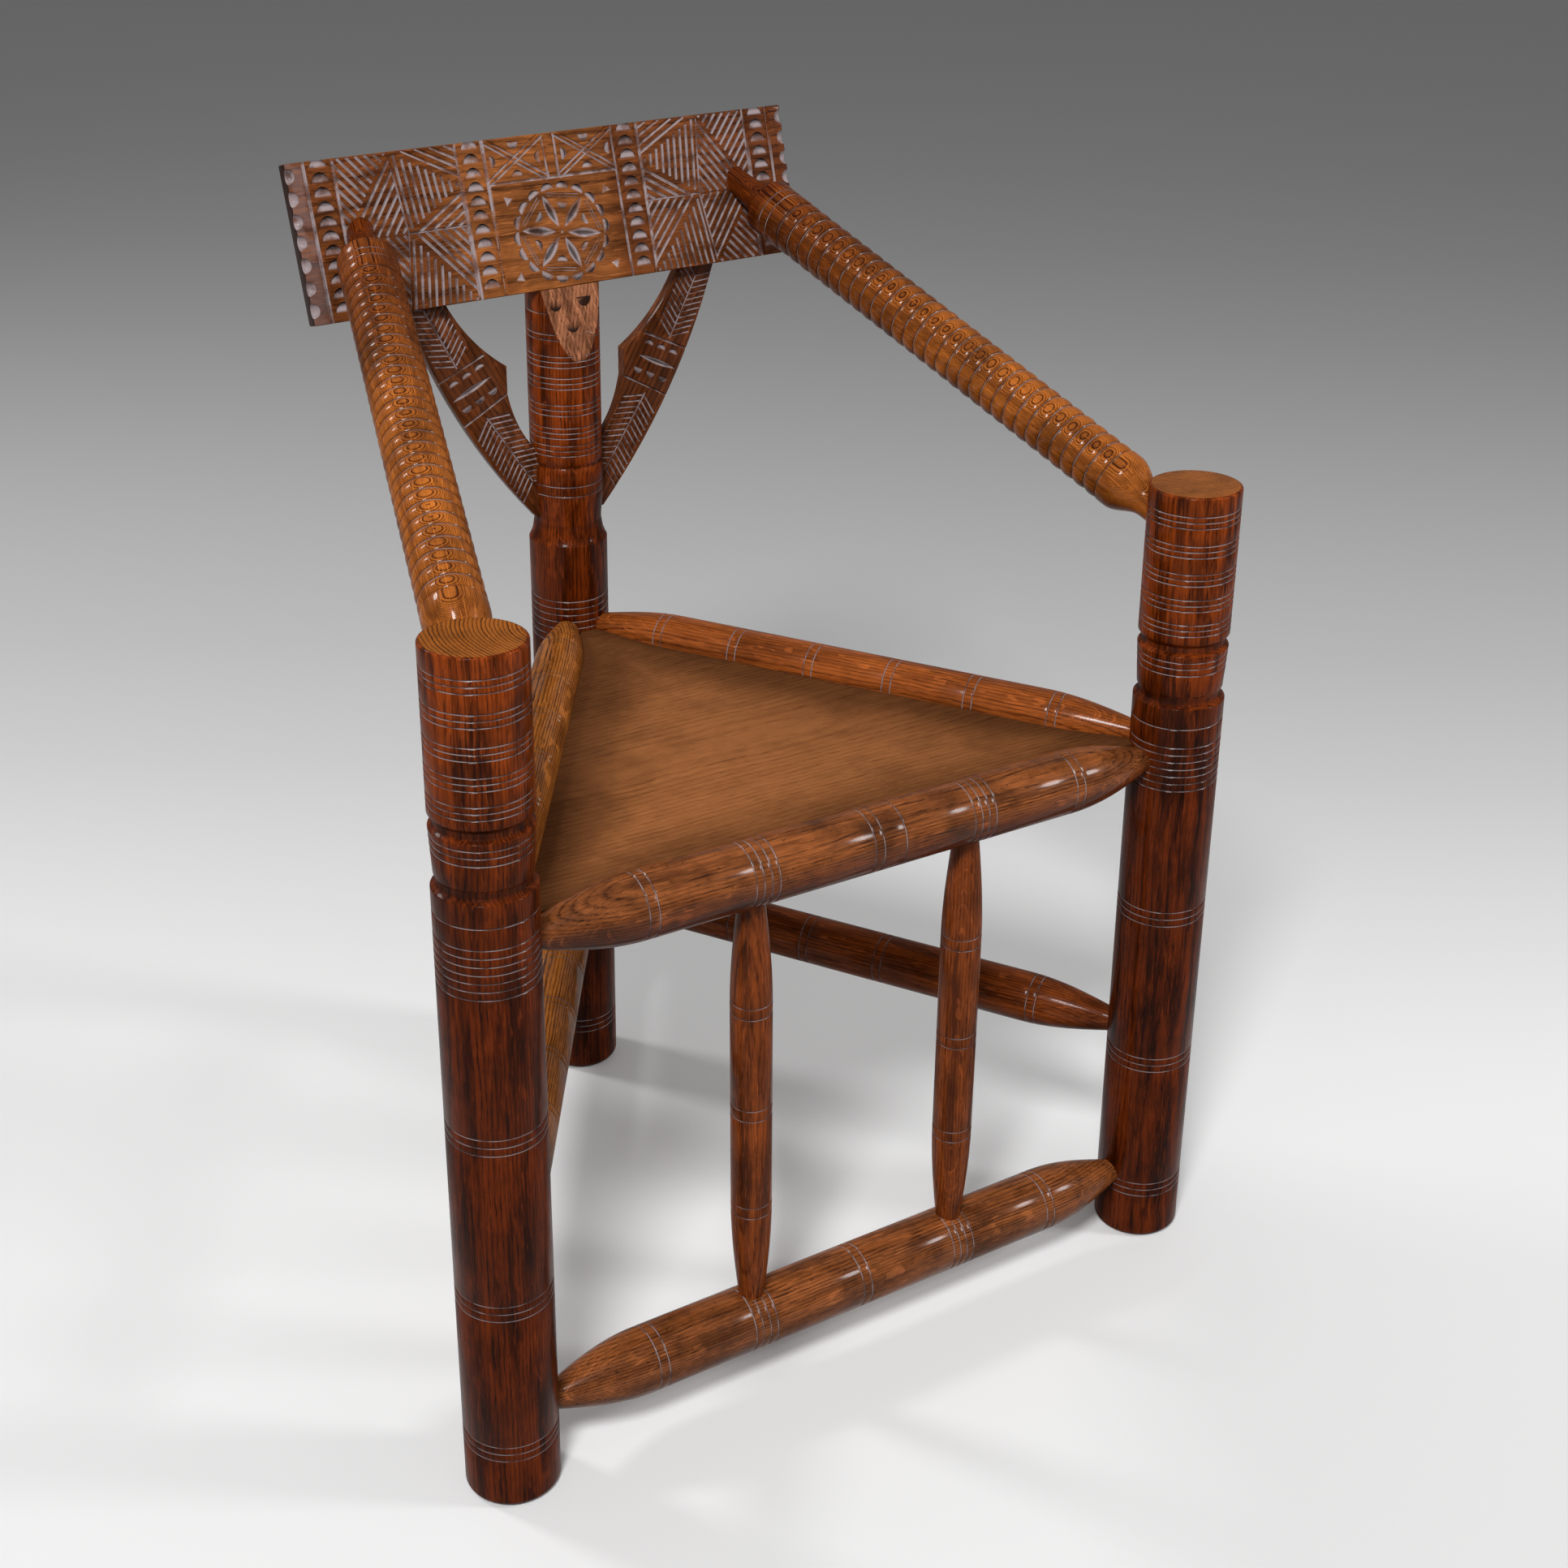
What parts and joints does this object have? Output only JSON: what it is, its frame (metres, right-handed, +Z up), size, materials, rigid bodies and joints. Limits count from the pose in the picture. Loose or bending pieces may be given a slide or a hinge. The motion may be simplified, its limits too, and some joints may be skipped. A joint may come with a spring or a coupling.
{
  "type": "turned armchair",
  "caption": "Three-post turned wooden armchair with a triangular board seat, ringed sloping arms and a leaning chip-carved crest board on curved braces.",
  "frame": {"origin": "on the floor, at the middle of the chair's width and of its depth", "axes": "+Z up from the floor to the crest board, -Y the way the sitter faces, +X to the right of someone looking at the chair's front"},
  "size_m": [0.6448, 0.5191, 0.8399],
  "materials": {
    "post_oak": "polished dark red-brown oak",
    "rail_oak": "polished red-brown oak",
    "worn_rail_oak": "worn polished brown oak",
    "seat_oak": "satin mid-brown oak",
    "golden_oak": "polished golden-brown oak",
    "carved_oak": "polished carved oak",
    "peg_oak": "dark satin oak"
  },
  "bodies": {
    "root": {"front_post_left": "post_oak", "front_post_right": "post_oak", "back_post": "post_oak", "front_seat_rail": "worn_rail_oak", "left_seat_rail": "rail_oak", "right_seat_rail": "rail_oak", "seat_board": "seat_oak", "front_stretcher": "worn_rail_oak", "left_stretcher": "golden_oak", "right_stretcher": "rail_oak", "left_spindle": "rail_oak", "right_spindle": "rail_oak", "left_arm": "golden_oak", "right_arm": "golden_oak", "crest_board": "carved_oak", "left_brace": "carved_oak", "right_brace": "carved_oak", "crest_pegs": "peg_oak", "brace_pegs": "peg_oak"}
  },
  "joints": []
}
